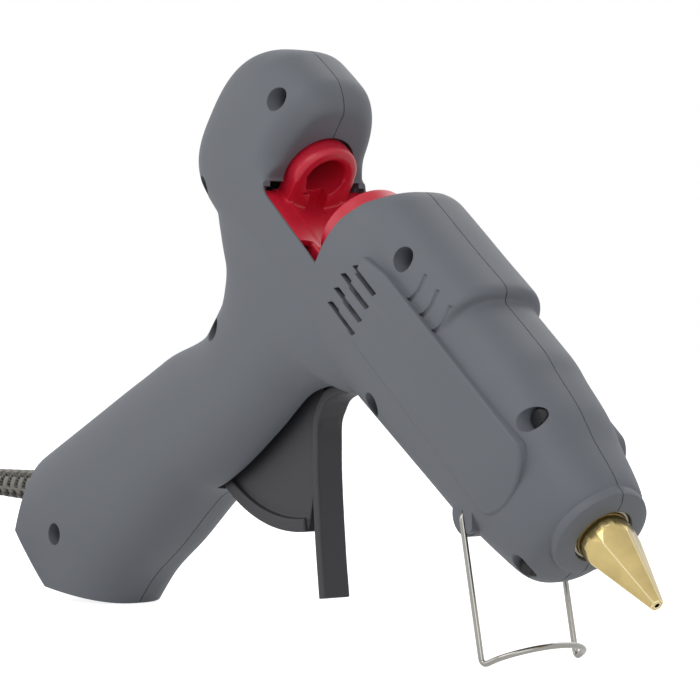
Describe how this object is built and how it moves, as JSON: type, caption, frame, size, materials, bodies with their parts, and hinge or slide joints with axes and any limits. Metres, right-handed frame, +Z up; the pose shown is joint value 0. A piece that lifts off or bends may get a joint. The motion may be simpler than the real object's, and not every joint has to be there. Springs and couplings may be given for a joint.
{
  "type": "hot glue applicator",
  "caption": "Pistol-shaped hot glue applicator that melts a solid stick and lays it through a tapered nozzle, resting on its butt and a wire stand.",
  "frame": {"origin": "middle of the bounding box of the gun without its free cord, on the surface it stands on", "axes": "+X to the front, the way the nozzle points, +Y to the gun's left, +Z up; the barrel leans nose down"},
  "size_m": [0.4853, 0.0663, 0.1692],
  "materials": {
    "housing": "fine matte grey",
    "feeder": "satin red",
    "trigger": "matte charcoal",
    "brass": "turned",
    "steel": "drawn wire and stamped steel",
    "cast_aluminium": "as cast",
    "silicone": "pale matte silicone",
    "ceramic": "unglazed, pale",
    "cord": "matte dark grey"
  },
  "bodies": {
    "housing": {"right_housing": "housing", "left_housing": "housing", "housing_screw_1": "steel", "housing_screw_2": "steel", "housing_screw_3": "steel", "housing_screw_4": "steel", "housing_screw_5": "steel", "housing_screw_6": "steel", "housing_screw_7": "steel", "housing_screw_8": "steel", "nozzle": "brass", "nozzle_seal": "silicone", "check_ball": "steel", "check_spring": "steel", "melt_chamber": "cast_aluminium", "heater_element": "ceramic", "heater_clip": "steel", "inlet_sleeve": "silicone", "sleeve_clamp": "steel", "trigger_pivot": "steel", "return_spring": "steel", "strain_relief": "cord", "cord_tail": "cord", "cord_clamp": "steel", "clamp_screw_1": "steel", "clamp_screw_2": "steel", "terminal_block": "ceramic", "heater_lead_1": "silicone", "heater_lead_2": "silicone", "cord_lead": "cord", "cord_hank": "cord", "cord_tie": "cord", "plug_body": "cord", "plug_pin_1": "brass", "plug_pin_2": "brass"},
    "feeder": {"feed_carriage": "feeder", "drive_pin": "steel", "gripper_pin": "steel"},
    "gripper": {"gripper_lever": "steel"},
    "trigger": {"trigger": "trigger"},
    "stand": {"wire_stand": "steel"}
  },
  "joints": [
    {"name": "trigger_pull", "type": "hinge", "parent": "housing", "child": "trigger", "pos_m": [0.01415, 0, 0.08582], "axis": [0, 1, 0], "range_deg": [0, 22], "stiffness_Nm_per_rad": 0.065, "springref_deg": -17.19, "deforming": ["return_spring"]},
    {"name": "feed_slide", "type": "slide", "parent": "housing", "child": "feeder", "axis": [0.7859, 0, -0.6184], "range_m": [0, 0.0096]},
    {"name": "gripper_bite", "type": "hinge", "parent": "feeder", "child": "gripper", "pos_m": [0.04336, 0, 0.10191], "axis": [0, 1, 0], "range_deg": [0, 8.1]},
    {"name": "stand_fold", "type": "hinge", "parent": "housing", "child": "stand", "pos_m": [0.10819, 0, 0.03957], "axis": [0, 1, 0], "range_deg": [0, 125]}
  ],
  "couplings": [
    {"joint": "feed_slide", "follows": "trigger_pull", "m_per_rad": 0.024806},
    {"joint": "gripper_bite", "follows": "trigger_pull", "ratio": 0.36364}
  ]
}
